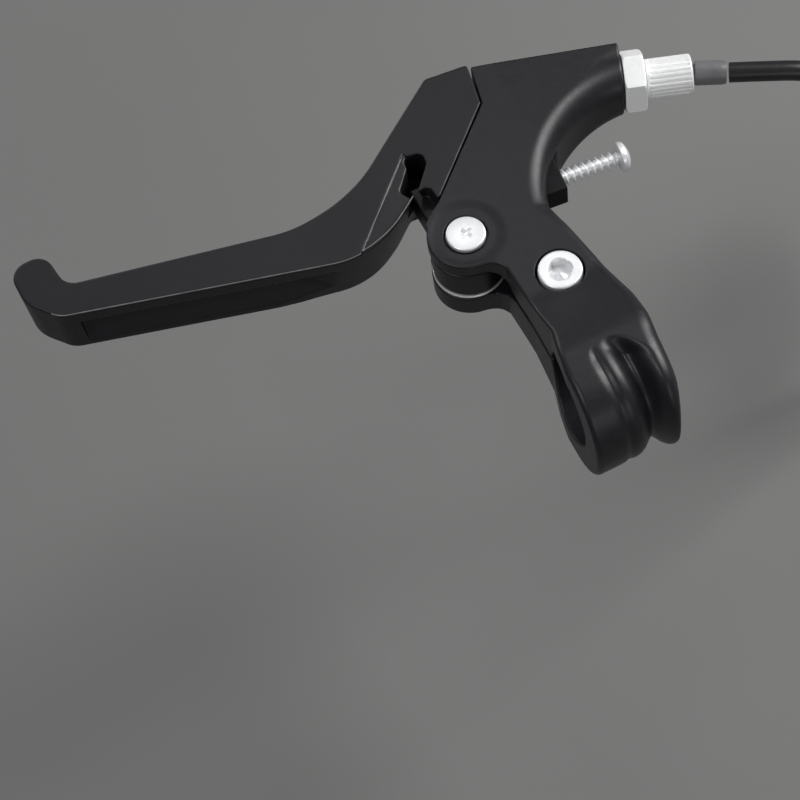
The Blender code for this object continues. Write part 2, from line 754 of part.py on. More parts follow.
def main():
    clear_scene()
    resin = principled("black_resin", (0.018, 0.018, 0.022), 0.42, 0.0)
    lever_resin = principled("lever_resin", (0.016, 0.016, 0.019), 0.45, 0.0)
    zinc = principled("zinc_steel", (0.75, 0.76, 0.78), 0.28, 1.0)
    dull_steel = principled("dull_steel", (0.55, 0.56, 0.58), 0.4, 1.0)
    aluminium = principled("cast_aluminium", (0.82, 0.83, 0.85), 0.35, 1.0)
    block = principled("black_block", (0.01, 0.01, 0.012), 0.6, 0.0)
    sleeve = principled("grey_sleeve", (0.12, 0.12, 0.13), 0.5, 0.0)
    rubber = principled("housing_skin", (0.01, 0.01, 0.012), 0.4, 0.0)
    nylon = principled("white_nylon", (0.75, 0.75, 0.72), 0.5, 0.0)

    make_bracket(resin)
    make_lever(lever_resin)
    make_pivot_screw(zinc)
    make_nut("pivot_nut", PIVOT, 4.62, PIVOT_HOLE, -9.2, -6.6, zinc)
    make_washer("pivot_bushing", PIVOT_HOLE, BUSHING_RADIUS, -5.0, 5.0, dull_steel)
    make_washer("pivot_washer_near", BUSHING_HOLE, 7.4, 4.4, 5.0, zinc)
    make_washer("pivot_washer_far", BUSHING_HOLE, 9.0, -5.0, -4.3, zinc)
    make_return_spring(dull_steel)
    make_clamp_bolt(zinc)
    make_nut("clamp_nut", CLAMP_BOLT, NUT_RADIUS, BOLT_HOLE, -9.2, -5.1, zinc)
    make_reach_nut(block)
    make_reach_screw(zinc)
    make_reach_pad(nylon)
    make_lock_ring(aluminium)
    make_barrel(aluminium)
    make_ferrule(sleeve)
    make_nipple(dull_steel)
    make_inner_wire(dull_steel)
    make_housing(rubber)
    make_coil_tie(nylon)
    make_end_fittings(dull_steel, aluminium)


main()
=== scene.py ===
"""Looks of the left-hand brake lever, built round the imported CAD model.

Most pieces are solids written as distance fields: functions of x, y and z in millimetres that are
negative inside. surface() finds where a field is zero on a grid, pulls every point onto the surface
and takes the shading normals from the field's own slope.
"""

import math

import bpy
import numpy as np
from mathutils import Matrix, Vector


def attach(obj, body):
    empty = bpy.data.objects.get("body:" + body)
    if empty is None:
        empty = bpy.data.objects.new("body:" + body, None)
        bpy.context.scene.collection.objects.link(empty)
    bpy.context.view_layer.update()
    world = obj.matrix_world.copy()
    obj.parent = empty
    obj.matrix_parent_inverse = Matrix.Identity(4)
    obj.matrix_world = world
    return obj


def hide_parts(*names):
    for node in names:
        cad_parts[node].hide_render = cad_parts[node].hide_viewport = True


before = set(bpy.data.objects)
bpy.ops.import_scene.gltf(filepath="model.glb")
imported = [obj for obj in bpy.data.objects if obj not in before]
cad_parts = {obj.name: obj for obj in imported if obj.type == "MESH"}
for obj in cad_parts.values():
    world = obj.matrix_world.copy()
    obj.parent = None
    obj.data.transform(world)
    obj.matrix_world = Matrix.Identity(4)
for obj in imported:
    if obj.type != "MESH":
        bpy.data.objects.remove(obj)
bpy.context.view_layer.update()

MM = 0.001
COARSE = 1.0

# Places and sizes in millimetres, angles in degrees; all but CLAMP_RADIUS are as in the CAD part
PIVOT = (-15.1, 45.3)
CLAMP_BOLT = (-0.75, 25.75)
ADJUSTER = (40.2, 70.94)
ADJUSTER_ANGLE = -21.1
REACH = (13.9, 53.5)
REACH_ANGLE = -6.3
FERRULE_ANGLE = -27.8
NIPPLE = (0.5, 82.0)
WIRE_RISE = 5.55
WIRE_SWING = 26.85
BAY_CENTRE = (33.6, 36.8)
BAY_RADIUS = 28.3
PLATE_HALF = 9.4
PLATE_FAR = 12.2
BLADE_NEAR = 8.3
END_HALF = 7.8
BLADE_FAR = 6.4
BARREL_END = 17.3
BAR_RADIUS = 11.1
CLAMP_RADIUS = 17.0
EAR_RADIUS = 9.2
FORK_HALF = 5.3
SEAM_X = -9.3
PIVOT_SEAT = 5.2
BOLT_SEAT = 5.8

# Studio: the floor's height in millimetres, the rest in metres
FLOOR_HEIGHT = -150.0
FLOOR_HALF = 2.0
LIGHT_TARGET = (0.0, 0.05, 0.0)

# Cable, in millimetres
HOUSING_ROUTE = [
    (64.4, 60.3, 0.0),
    (72.0, 56.3, 0.0),
    (80.0, 52.1, -0.4),
    (88.0, 47.9, -3.0),
    (95.0, 44.2, -8.5),
    (100.3, 41.4, -17.0),
    (103.3, 39.9, -28.0),
    (104.5, 39.3, -40.0),
    (104.5, 39.3, -52.0),
]
HOUSING_RADIUS = 2.5
COIL_RADIUS = 29.0
COIL_HEIGHT = -70.0
COIL_DIRECTION = (0.458, 0.889, 0.0)
COIL_TURNS = 2
TAIL_BOTTOM = -112.0


# ---------------------------------------------------------------- camera


def make_camera():
    """Camera that looks down on the lever's near face from the rider's side."""
    azimuth, elevation, roll = (math.radians(v) for v in (-15.5, 62.0, 12.0))
    distance, aside, below = 450.0, 49.55, 5.68
    back = Vector((math.sin(azimuth), -math.cos(azimuth), 0)) * math.cos(elevation)
    back.z = math.sin(elevation)
    level = Vector((math.cos(azimuth), math.sin(azimuth), 0))
    rise = back.cross(level)
    right = level * math.cos(roll) - rise * math.sin(roll)
    up = level * math.sin(roll) + rise * math.cos(roll)
    data = bpy.data.cameras.new("camera")
    data.lens = 89.1
    data.sensor_width = 36.0
    data.clip_start = 0.01
    data.clip_end = 20.0
    camera = bpy.data.objects.new("camera", data)
    bpy.context.collection.objects.link(camera)
    place = (back * distance - right * aside - up * below) * MM
    matrix = camera.matrix_world
    for column, axis in enumerate((right, up, back)):
        for row in range(3):
            matrix[row][column] = axis[row]
    for row in range(3):
        matrix[row][3] = place[row]
    camera.matrix_world = matrix
    bpy.context.scene.camera = camera


# ---------------------------------------------------------------- fields


def meet(a, b, radius):
    """Common part of two fields, with its outer edge rounded."""
    outer = np.hypot(np.maximum(a + radius, 0), np.maximum(b + radius, 0)) - radius
    return np.minimum(np.maximum(a, b) + radius, 0) + outer


def unite(a, b, radius):
    """Both fields together, with the inner corner filled to a radius."""
    return -meet(-a, -b, radius)


def carve(a, b, radius):
    """The first field without the second, with the rim rounded."""
    return meet(a, -b, radius)


def ramp(value, low, high):
    """Smooth step from 0 at low to 1 at high."""
    t = np.clip((value - low) / (high - low), 0, 1)
    return t * t * (3 - 2 * t)


def mix(a, b, share):
    return a + (b - a) * share


def unit(angle):
    return np.array((math.cos(math.radians(angle)), math.sin(math.radians(angle))))


def arc(centre, radius, start, end, count):
    angles = np.radians(np.linspace(start, end, count + 1))
    return [(centre[0] + radius * math.cos(a), centre[1] + radius * math.sin(a)) for a in angles]


def rounded(corners, segments=8):
    """Outline through corners (x, y, radius), each turned into an arc of its radius."""
    points = []
    count = len(corners)
    for i, (x, y, radius) in enumerate(corners):
        here = np.array((x, y))
        back = np.array(corners[i - 1][:2]) - here
        ahead = np.array(corners[(i + 1) % count][:2]) - here
        back /= np.linalg.norm(back)
        ahead /= np.linalg.norm(ahead)
        half = math.acos(np.clip(back @ ahead, -1, 1)) / 2
        reach = radius / math.tan(half)
        middle = (back + ahead) / np.linalg.norm(back + ahead)
        centre = here + middle * radius / math.sin(half)
        first = here + back * reach - centre
        last = here + ahead * reach - centre
        for step in range(segments + 1):
            t = step / segments
            spoke = first * math.sin((1 - t) * (math.pi - 2 * half)) + last * math.sin(
                t * (math.pi - 2 * half)
            )
            points.append(tuple(centre + spoke * radius / np.linalg.norm(spoke)))
    return points


def area(points, x, y):
    """Distance to a closed outline in the XY plane, negative inside it."""
    x, y = np.broadcast_arrays(x, y)
    best = np.full(x.shape, np.inf)
    inside = np.zeros(x.shape, bool)
    for (ax, ay), (bx, by) in zip(points, points[1:] + points[:1]):
        ex, ey = bx - ax, by - ay
        if ex == ey == 0:
            continue
        wx, wy = x - ax, y - ay
        t = np.clip((wx * ex + wy * ey) / (ex * ex + ey * ey), 0, 1)
        best = np.minimum(best, (wx - ex * t) ** 2 + (wy - ey * t) ** 2)
        if ey:
            inside ^= ((ay > y) != (by > y)) & (wx < ex * wy / ey)
    return np.where(inside, -1, 1) * np.sqrt(best)


def span(value, low, high):
    """Distance to a slab between two values."""
    return np.abs(value - (low + high) / 2) - (high - low) / 2


def block(x, y, half_x, half_y, radius=0.0):
    """Rectangle about the origin."""
    return meet(np.abs(x) - half_x, np.abs(y) - half_y, radius)


def polygon_prism(x, y, apothem, sides, start=0.0):
    """Regular prism about the Z axis; start is the angle of one flat in degrees."""
    part = 2 * np.pi / sides
    angle = np.arctan2(y, x) - math.radians(start)
    turned = (angle + part / 2) % part - part / 2
    return np.hypot(x, y) * np.cos(turned) - apothem


def turn(x, y, origin, angle):
    """x and y seen from an origin, with the first axis at an angle in degrees."""
    c, s = unit(angle)
    x, y = x - origin[0], y - origin[1]
    return x * c + y * s, y * c - x * s


# ---------------------------------------------------------------- surfaces


CORNERS = [(i, j, k) for i in (0, 1) for j in (0, 1) for k in (0, 1)]


def slope(field, points):
    reach = 0.03
    rows = []
    for axis in range(3):
        step = np.zeros(3)
        step[axis] = reach
        rows.append((field(*(points + step).T) - field(*(points - step).T)) / (2 * reach))
    return np.stack(rows, 1)


def surface(field, low, high, step):
    """Points, quads and normals of a field's surface inside a box."""
    step *= COARSE
    axes = [np.arange(a - 1.5 * step, b + 2.5 * step, step) for a, b in zip(low, high)]
    x, y, z = axes
    values = field(x[:, None, None], y[None, :, None], z[None, None, :])
    values = np.broadcast_to(values, [len(a) for a in axes])
    inside = values < 0
    size = [n - 1 for n in values.shape]
    count = np.zeros(size, np.uint8)
    for i, j, k in CORNERS:
        count += inside[i : i + size[0], j : j + size[1], k : k + size[2]]
    cells = np.argwhere((count > 0) & (count < 8))
    total = np.zeros((len(cells), 3))
    hits = np.zeros(len(cells))
    at = {corner: values[tuple((cells + corner).T)] for corner in CORNERS}
    for corner in CORNERS:
        for axis in range(3):
            if corner[axis]:
                continue
            other = tuple(1 if n == axis else c for n, c in enumerate(corner))
            crossed = (at[corner] < 0) != (at[other] < 0)
            first, second = at[corner][crossed], at[other][crossed]
            point = np.tile(np.array(corner, float), (len(first), 1))
            point[:, axis] += first / (first - second)
            total[crossed] += point
            hits += crossed
    start = np.array([a[0] for a in axes])
    points = start + (cells + total / hits[:, None]) * step
    number = np.full(size, -1)
    number[tuple(cells.T)] = np.arange(len(cells))
    quads = []
    for axis in range(3):
        lower = np.take(inside, range(size[axis]), axis)
        upper = np.take(inside, range(1, size[axis] + 1), axis)
        edges = np.argwhere(lower != upper)
        u, v = (axis + 1) % 3, (axis + 2) % 3
        keep = (edges[:, u] > 0) & (edges[:, v] > 0)
        keep &= (edges[:, u] < size[u]) & (edges[:, v] < size[v])
        edges = edges[keep]
        loop = []
        for du, dv in ((-1, -1), (0, -1), (0, 0), (-1, 0)):
            cell = edges.copy()
            cell[:, u] += du
            cell[:, v] += dv
            loop.append(number[tuple(cell.T)])
        loop = np.stack(loop, 1)
        leaving = lower[tuple(edges.T)]
        loop[~leaving] = loop[~leaving][:, ::-1]
        quads.append(loop)
    for _ in range(4):
        normal = slope(field, points)
        length = np.maximum(np.linalg.norm(normal, axis=1), 0.3)
        move = np.clip(field(*points.T) / length, -0.4 * step, 0.4 * step)
        points -= normal * (move / length)[:, None]
    normal = slope(field, points)
    normal /= np.maximum(np.linalg.norm(normal, axis=1), 1e-6)[:, None]
    return points, np.concatenate(quads), normal


def add_mesh(name, points, faces, normals=None):
    """Mesh object from points in millimetres."""
    mesh = bpy.data.meshes.new(name)
    mesh.from_pydata((points * MM).tolist(), [], [tuple(f) for f in faces.tolist()])
    mesh.shade_smooth()
    if normals is not None:
        mesh.normals_split_custom_set_from_vertices(normals.tolist())
    obj = bpy.data.objects.new(name, mesh)
    bpy.context.collection.objects.link(obj)
    return obj


def settle(obj, body, finish, *nodes):
    """Give a piece its material and its body, and hide the CAD parts of its nodes."""
    obj.data.materials.append(finish)
    if nodes:
        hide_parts(*nodes)
    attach(obj, body)
    return obj


def solid(name, field, low, high, step, origin=None, angle=0.0):
    """Object from a field. With an origin, the field's Z axis runs along an angle in the XY plane."""
    points, faces, normals = surface(field, low, high, step)
    if origin is not None:
        c, s = unit(angle)
        basis = np.array(((0, 0, 1), (s, -c, 0), (c, s, 0)), float)
        points = points @ basis + np.array((origin[0], origin[1], 0.0))
        normals = normals @ basis
    return add_mesh(name, points, faces, normals)


def turned(name, profile, segments, centre):
    """Ring or rod about a vertical axis from a closed profile of (radius, height)."""
    profile = np.array(profile)
    angles = 2 * np.pi * np.arange(segments) / segments
    ring = np.stack((np.cos(angles), np.sin(angles)), 1)
    points = np.empty((len(profile), segments, 3))
    points[:, :, :2] = profile[:, 0, None, None] * ring
    points[:, :, 2] = profile[:, 1, None]
    points = points.reshape(-1, 3) + np.array((*centre, 0.0))
    faces = []
    for k in range(len(profile)):
        for i in range(segments):
            a, b = k * segments, (k + 1) % len(profile) * segments
            j = (i + 1) % segments
            faces.append((a + i, a + j, b + j, b + i))
    obj = add_mesh(name, points, np.array(faces))
    obj.data.set_sharp_from_angle(angle=math.radians(40))
    return obj


def chamfered(inner, outer, low, high, cut):
    """Closed ring profile with small chamfers."""
    return [
        (inner, low + cut),
        (inner + cut, low),
        (outer - cut, low),
        (outer, low + cut),
        (outer, high - cut),
        (outer - cut, high),
        (inner + cut, high),
        (inner, high - cut),
    ]


# ---------------------------------------------------------------- materials


def noise(material, scale, detail=3.0):
    """Noise on the piece's own coordinates, in features per metre."""
    tree = material.node_tree
    coordinates = tree.nodes.new("ShaderNodeTexCoord")
    made = tree.nodes.new("ShaderNodeTexNoise")
    made.inputs["Scale"].default_value = scale
    made.inputs["Detail"].default_value = detail
    tree.links.new(coordinates.outputs["Object"], made.inputs["Vector"])
    return made.outputs["Fac"]


def spread(material, source, low, high, from_low=0.35, from_high=0.65):
    """Map a noise output onto a range."""
    tree = material.node_tree
    made = tree.nodes.new("ShaderNodeMapRange")
    made.inputs["From Min"].default_value = from_low
    made.inputs["From Max"].default_value = from_high
    made.inputs["To Min"].default_value = low
    made.inputs["To Max"].default_value = high
    tree.links.new(source, made.inputs["Value"])
    return made.outputs["Result"]


def tint(material, source, dark, light):
    tree = material.node_tree
    made = tree.nodes.new("ShaderNodeMix")
    made.data_type = "RGBA"
    made.inputs["A"].default_value = (*dark, 1.0)
    made.inputs["B"].default_value = (*light, 1.0)
    tree.links.new(source, made.inputs["Factor"])
    return made.outputs["Result"]


def bump(material, source, strength, height, under=None):
    tree = material.node_tree
    made = tree.nodes.new("ShaderNodeBump")
    made.inputs["Strength"].default_value = strength
    made.inputs["Distance"].default_value = height * MM
    tree.links.new(source, made.inputs["Height"])
    if under is not None:
        tree.links.new(under, made.inputs["Normal"])
    return made.outputs["Normal"]


def material_for(slot):
    material = bpy.data.materials.new(slot + "_look")
    material.use_nodes = True
    material["slot"] = slot
    return material, material.node_tree.nodes["Principled BSDF"]


def resin(slot, dark, light, rough, grain, grain_height, specular=0.5):
    """Moulded glass-filled nylon: fine spark-eroded grain, faint flow clouds and handling shine."""
    material, shader = material_for(slot)
    links = material.node_tree.links
    shader.inputs["Specular IOR Level"].default_value = specular
    cloud = noise(material, 400, 3)
    fine = noise(material, grain, 2)
    links.new(tint(material, spread(material, cloud, 0, 1), dark, light), shader.inputs["Base Color"])
    worn = spread(material, noise(material, 900, 3), rough - 0.02, rough + 0.03)
    links.new(worn, shader.inputs["Roughness"])
    coarse = bump(material, noise(material, grain * 0.28, 3), 0.5, grain_height * 0.8)
    links.new(bump(material, fine, 0.8, grain_height, coarse), shader.inputs["Normal"])
    return material


def metal(slot, dark, light, rough, scale, height=0.004, metallic=0.85):
    """Plated or cast metal with slightly uneven brightness and gloss and very fine marks."""
    material, shader = material_for(slot)
    links = material.node_tree.links
    shader.inputs["Metallic"].default_value = metallic
    cloud = spread(material, noise(material, scale * 0.2, 4), 0, 1)
    links.new(tint(material, cloud, dark, light), shader.inputs["Base Color"])
    marks = noise(material, scale, 4)
    links.new(spread(material, marks, rough - 0.03, rough + 0.04), shader.inputs["Roughness"])
    links.new(bump(material, marks, 0.3, height), shader.inputs["Normal"])
    return material


def floor_material():
    material, shader = material_for("floor")
    links = material.node_tree.links
    cloud = spread(material, noise(material, 6, 3), 0, 1)
    pale = tint(material, cloud, (0.185, 0.185, 0.181), (0.193, 0.193, 0.189))
    links.new(pale, shader.inputs["Base Color"])
    shader.inputs["Roughness"].default_value = 0.9
    shader.inputs["Specular IOR Level"].default_value = 0.1
    return material


# ---------------------------------------------------------------- bracket


def bracket_outline():
    along = unit(ADJUSTER_ANGLE)
    across = np.array((-along[1], along[0]))
    end = np.array(ADJUSTER)
    beyond = end + along * 16
    outline = [(-15.2, -22.0), (-14.6, -12.0), (-14.0, -1.6), (-12.7, 5.0), (-11.2, 10.5)]
    outline += [(-10.9, 20.0), (-11.2, 32.5), (-16.0, 41.0)]
    outline += [tuple(np.array(PIVOT) + EAR_RADIUS * unit(133.5)), (5.2, 76.4), (7.6, 87.4)]
    outline += [tuple(beyond + across * 7.6), tuple(beyond - across * 6.8)]
    outline += arc(BAY_CENTRE, BAY_RADIUS, 81.5, 165, 30)
    outline += [(6.7, 39.0), (7.6, 33.5), (8.7, 26.0), (9.5, 19.0), (10.0, 11.0)]
    outline += [(9.8, 4.0), (8.9, -2.0), (8.4, -8.0), (7.8, -14.0), (7.5, -22.0)]
    return outline


def bracket_edge(x, y):
    """Radius of the outer edges: small beside the lever, large along the bay and the clamp."""
    from_bay = np.hypot(x - BAY_CENTRE[0], y - BAY_CENTRE[1]) - BAY_RADIUS
    bay = mix(4.8, 6.6, ramp(x, 10, 36))
    low = mix(3.8, 2.4, ramp(y, 2, 20))
    right = ramp(x, -3, 4)
    upper = mix(0.35, bay, 1 - ramp(from_bay, 7.5, 13))
    lower = mix(mix(1.3, 0.7, ramp(y, 4, 16)), low, right)
    return mix(lower, upper, ramp(y, 36, 46))


def bracket_field(x, y, z):
    """Plate with ears and an adjuster boss, joined to the clamp ring, with its cuts."""
    depth = np.abs(z)
    outline = area(BRACKET_OUTLINE, x, y)
    ear = np.hypot(x - PIVOT[0], y - PIVOT[1]) - EAR_RADIUS
    outline = unite(outline, ear, 2.6)
    dish = 0.45 * (1 - ramp(ear + EAR_RADIUS, 6.6, 10.2))
    full = np.where(z < 0, PLATE_FAR, PLATE_HALF)
    thick = mix(full, END_HALF, np.clip((x - 12) / 32, 0, 1)) - dish
    plate = depth - thick + 16 * ramp(-y, -3, 16) + 14 * ramp(-y, 5, 15)
    around = np.hypot(y, z)
    reach = CLAMP_RADIUS + 1.5 * ramp(-y, 0, 14) + 1.3 * ramp(-y, 5, 16) * ramp(x, 0, 5)
    started = ramp(2.2 - 0.09 * (x + 3.4) ** 2 - y, 0, 3.4)
    valley = 3.7 * np.exp(-(((x - 0.3) / 2.6) ** 2)) + 0.55 * np.exp(-(((x + 6.4) / 1.0) ** 2))
    tail_off = 1 - 0.35 * ramp(-y, 8, 18)
    ring = around - (reach - valley * started * tail_off)
    body = unite(plate, ring, 9.0)
    body = meet(body, outline, bracket_edge(x, y))
    s, n = turn(x, y, ADJUSTER, ADJUSTER_ANGLE)
    body = meet(body, s, 0.5)
    body = carve(body, around - BAR_RADIUS, 0.5)
    fork = np.hypot(x - PIVOT[0], y - PIVOT[1]) - 9.8
    fork = np.maximum(np.maximum(fork, x - SEAM_X), y - 68)
    channel = np.maximum(np.maximum(x - SEAM_X, 35.5 - y), y - 68)
    channel = np.maximum(channel, x + 15.1)
    fork = np.minimum(fork, channel)
    body = carve(body, meet(fork, depth - FORK_HALF, 0.4), 0.45)
    slit = np.maximum(depth - 0.9, np.maximum(-0.1 - y, y - 38))
    body = carve(body, slit, 0.3)
    hollow = np.maximum(depth - 0.9 - 4.2 * ramp(y, 28, 37), np.maximum(x + 5.4, span(y, 27, 40)))
    body = carve(body, hollow, 0.4)
    pivot = np.hypot(x - PIVOT[0], y - PIVOT[1])
    body = carve(body, pivot - 2.65, 0.15)
    body = carve(body, np.maximum(pivot - PIVOT_SEAT, 7.9 - z), 0.25)
    body = carve(body, np.maximum(pivot - PIVOT_SEAT, z + 6.3), 0.25)
    bolt = np.hypot(x - CLAMP_BOLT[0], y - CLAMP_BOLT[1])
    body = carve(body, bolt - 3.2, 0.15)
    body = carve(body, np.maximum(bolt - BOLT_SEAT, 5.2 - z), 0.25)
    hexagon = polygon_prism(x - CLAMP_BOLT[0], y - CLAMP_BOLT[1], 5.4, 6, 30)
    body = carve(body, np.maximum(hexagon, z + 4.8), 0.25)
    body = carve(body, np.maximum(np.hypot(n, z) - 4.4, -15.2 - s), 0.3)
    passage = np.maximum(block(*turn(x, y, PASSAGE, PASSAGE_ANGLE), 16.2, 2.5), depth - 2.5)
    body = carve(body, passage, 0.3)
    s, n = turn(x, y, REACH, REACH_ANGLE)
    hole = np.maximum(np.hypot(n, z) - 2.6, span(s, -30, 3))
    body = carve(body, hole, 0.2)
    pocket = np.maximum(np.maximum(span(s, -8.4, 4.0), np.abs(n) - 5.5), depth - 3.7)
    return carve(body, pocket, 0.35)


def passage_line():
    """Centre and angle of the box that the inner wire swings in."""
    along = unit(ADJUSTER_ANGLE)
    across = np.array((-along[1], along[0]))
    start = np.array(ADJUSTER) - along * 13.0 - across * 0.3
    finish = np.array(ADJUSTER) - along * 45.0 - across * 4.6
    rise = finish - start
    return tuple((start + finish) / 2), math.degrees(math.atan2(rise[1], rise[0]))


BRACKET_OUTLINE = bracket_outline()
PASSAGE, PASSAGE_ANGLE = passage_line()


# ---------------------------------------------------------------- lever


CREASE_FOOT = (-38.5, 53.2)
CREASE_ANGLE = 43.8
LOWER_CORNER = (-107.8, 72.4)
LOWER_ANGLE = -16.8
LEAN_AT = (-60.0, -55.0, -42.0, -36.0, -29.0, -22.0)
LEAN = (0.0, 0.02, 0.125, 0.17, 0.24, 0.27)
PAINTED_HIGHLIGHT_RADIUS = 0.15
LEVER_OUTLINE = rounded(
    [
        (7.2, 88.6, 0.8),
        (-3.8, 89.9, 1.5),
        (-33.0, 68.9, 36.0),
        (-50.0, 67.2, 30.0),
        (-103.4, 80.2, 4.5),
        (-104.8, 91.0, 4.3),
        (-114.3, 90.8, 4.4),
        (-113.9, 80.0, 9.0),
        (-107.8, 72.4, 7.0),
        (-41.5, 52.4, 20.0),
        (-31.0, 53.4, 22.0),
        (-21.8, 60.4, 0.6),
        (-20.4, 61.2, 0.7),
        (-16.6, 61.6, 1.6),
        (-16.4, 56.95, 0.6),
        (4.9, 76.75, 1.0),
    ]
)
CHANNEL = [(-103.4, 74.8), (-105.5, 60.0), (-38.0, 43.0), (-43.0, 52.9), (-56.0, 60.6)]
SLOT = rounded(
    [(-18.9, 68.9, 1.6), (-18.6, 71.9, 1.4), (-13.9, 71.0, 1.8), (-14.3, 67.6, 1.5),
     (-20.9, 60.0, 1.0), (-23.3, 63.8, 1.0)]
)
FACET = [(-44.0, 52.0), (-20.0, 76.0), (-16.5, 70.0), (-14.4, 67.6), (-19.5, 62.2),
         (-21.6, 61.1), (-24.6, 58.9), (-29.2, 56.1), (-34.5, 54.2), (-38.6, 53.0)]
# Paths of the thin grey cords that are painted highlights along the facet's crease and lower edge
PAINTED_HIGHLIGHT_LINES = [
    [(-38.1, 53.4), (-34.0, 57.4), (-28.5, 62.6), (-23.0, 67.9), (-19.1, 71.6)],
    [(-38.1, 53.4), (-34.4, 54.0), (-29.0, 55.8), (-24.3, 58.6), (-21.2, 60.8)],
]


def lever_face(x):
    """Height of the lever's near face."""
    return mix(PLATE_HALF, BLADE_NEAR, ramp(-x, 18, 52))


def lever_field(x, y, z):
    """Lever with a channel along its lower side, a facet and a window, and its tongue."""
    outline = area(LEVER_OUTLINE, x, y)
    near = lever_face(x)
    far = mix(PLATE_HALF, BLADE_FAR, ramp(-x, 18, 52))
    lean = np.interp(x, LEAN_AT, LEAN)
    back_cut = area(LEVER_OUTLINE, x, y - lean * (near - z))
    outline = np.where((x < -16.6) & (y < 66), np.maximum(outline, back_cut), outline)
    seam = ramp(x - 0.93 * (y - 57.0) + 16.4, -5.5, -3.0)
    blade = meet(outline, np.maximum(z - near, -far - z), mix(0.6, 0.3, seam))
    deep = turn(x, y, LOWER_CORNER, LOWER_ANGLE)[1]
    channel = np.maximum(z - 4.6, 0.9 * (deep - 0.35 - 0.5 * (z + 3.6)))
    blade = carve(blade, meet(area(CHANNEL, x, y), channel, 0.5), 0.25)
    across = turn(x, y, CREASE_FOOT, CREASE_ANGLE)[1]
    floor = near - 0.35 - 0.14 * np.maximum(-across, 0)
    pocket = np.maximum(np.maximum(area(FACET, x, y), across), floor - z)
    blade = carve(blade, pocket, 0.22)
    blade = carve(blade, np.maximum(area(SLOT, x, y), -2.0 - z), 0.35)
    pivot = np.hypot(x - PIVOT[0], y - PIVOT[1])
    half_neck = -9.9 - PIVOT[0]
    neck = np.maximum(np.abs(x - PIVOT[0]) - half_neck, span(y, 45.3, 66.0))
    boss = unite(pivot - 8.8, neck, 1.5)
    blade = unite(blade, meet(boss, span(z, -4.0, 4.1), 0.4), 0.3)
    blade = carve(blade, pivot - 3.9, 0.2)
    blade = carve(blade, np.maximum(pivot - 7.4, 0.4 - z), 0.2)
    nipple = np.hypot(x - NIPPLE[0], y - NIPPLE[1]) - 3.75
    blade = carve(blade, np.maximum(nipple, z - 3.6), 0.3)
    return carve(blade, np.maximum(area(WIRE_FAN, x, y), z - 1.3), 0.3)


def build_painted_highlights(finish):
    """Thin grey cords that stand for edge highlights, along the facet and the blade's lower edge."""
    for number, line in enumerate(PAINTED_HIGHLIGHT_LINES):
        points = [(x, y, lever_face(x) - 0.08) for x, y in line]
        settle(bezier("facet_painted_highlight_%d" % number, points, PAINTED_HIGHLIGHT_RADIUS), "lever", finish)
    lower = [p for p in LEVER_OUTLINE if p[1] < 60.3 + 0.3 * max(-60 - p[0], 0) and p[0] < -38]
    points = [(x - 0.1, y + 0.3, lever_face(x) - 0.08) for x, y in sorted(lower)]
    settle(bezier("blade_edge_painted_highlight", points, PAINTED_HIGHLIGHT_RADIUS), "lever", finish)


def wire_fan():
    """Slot that the inner wire swings in as the lever turns away from it."""
    shallow = unit(ADJUSTER_ANGLE + WIRE_RISE)
    steep = unit(ADJUSTER_ANGLE + WIRE_RISE - WIRE_SWING)
    above = np.array((-shallow[1], shallow[0])) * 1.2
    below = np.array((steep[1], -steep[0])) * 1.2
    centre = np.array(NIPPLE)
    corners = [centre + below, centre + below + steep * 16, centre + above + shallow * 16]
    return [tuple(p) for p in corners + [centre + above]]


WIRE_FAN = wire_fan()


# ---------------------------------------------------------------- hardware


def cross_recess(x, y, z, top, depth, arm, width, start=0.0):
    """Cross-head recess that tapers to its bottom."""
    c, s = unit(start)
    u, v = x * c + y * s, y * c - x * s
    sink = np.clip((top - z) / depth, 0, 1)
    long = arm * (1 - 0.55 * sink)
    wide = width * (1 - 0.3 * sink)
    first = np.maximum(np.abs(u) - long, np.abs(v) - wide)
    second = np.maximum(np.abs(v) - long, np.abs(u) - wide)
    return np.maximum(np.minimum(first, second), top - depth - z)


def pivot_screw_field(x, y, z):
    x, y = x - PIVOT[0], y - PIVOT[1]
    around = np.hypot(x, y)
    top = 9.9 - 0.012 * around**2
    head = meet(around - 4.7, np.maximum(z - top, 8.2 - z), 0.35)
    shank = meet(around - 2.35, span(z, -9.0, 8.4), 0.3)
    screw = unite(head, shank, 0.1)
    return carve(screw, cross_recess(x, y, z, 9.9, 0.75, 1.75, 0.42, 25), 0.15)


def clamp_bolt_field(x, y, z):
    x, y = x - CLAMP_BOLT[0], y - CLAMP_BOLT[1]
    around = np.hypot(x, y)
    head = meet(around - 5.2, span(z, 5.5, 10.0), 0.55)
    shank = meet(around - 2.85 + 0.12 * np.sin(2 * np.pi * z / 0.8), span(z, -8.6, 5.7), 0.3)
    bolt = unite(head, shank, 0.15)
    socket = np.maximum(polygon_prism(x, y, 2.55, 6, 10), 7.2 - z + (2.6 - around) * 0.35)
    lead = around - 2.75 - (z - 9.75)
    return carve(bolt, np.minimum(socket, np.maximum(lead, 9.3 - z)), 0.15)


def nut_field(centre, apothem, bore, low, high):
    def field(x, y, z):
        x, y = x - centre[0], y - centre[1]
        around = np.hypot(x, y)
        nut = meet(polygon_prism(x, y, apothem, 6, 30), span(z, low, high), 0.15)
        middle = (low + high) / 2
        cone = around + 1.6 * np.abs(z - middle) - apothem * 1.06 - 0.8 * (high - low)
        nut = meet(nut, cone / 1.9, 0.1)
        thread = bore + 0.15 * np.cos(2 * np.pi * z / 0.8)
        return carve(nut, around - thread, 0.15)

    return field


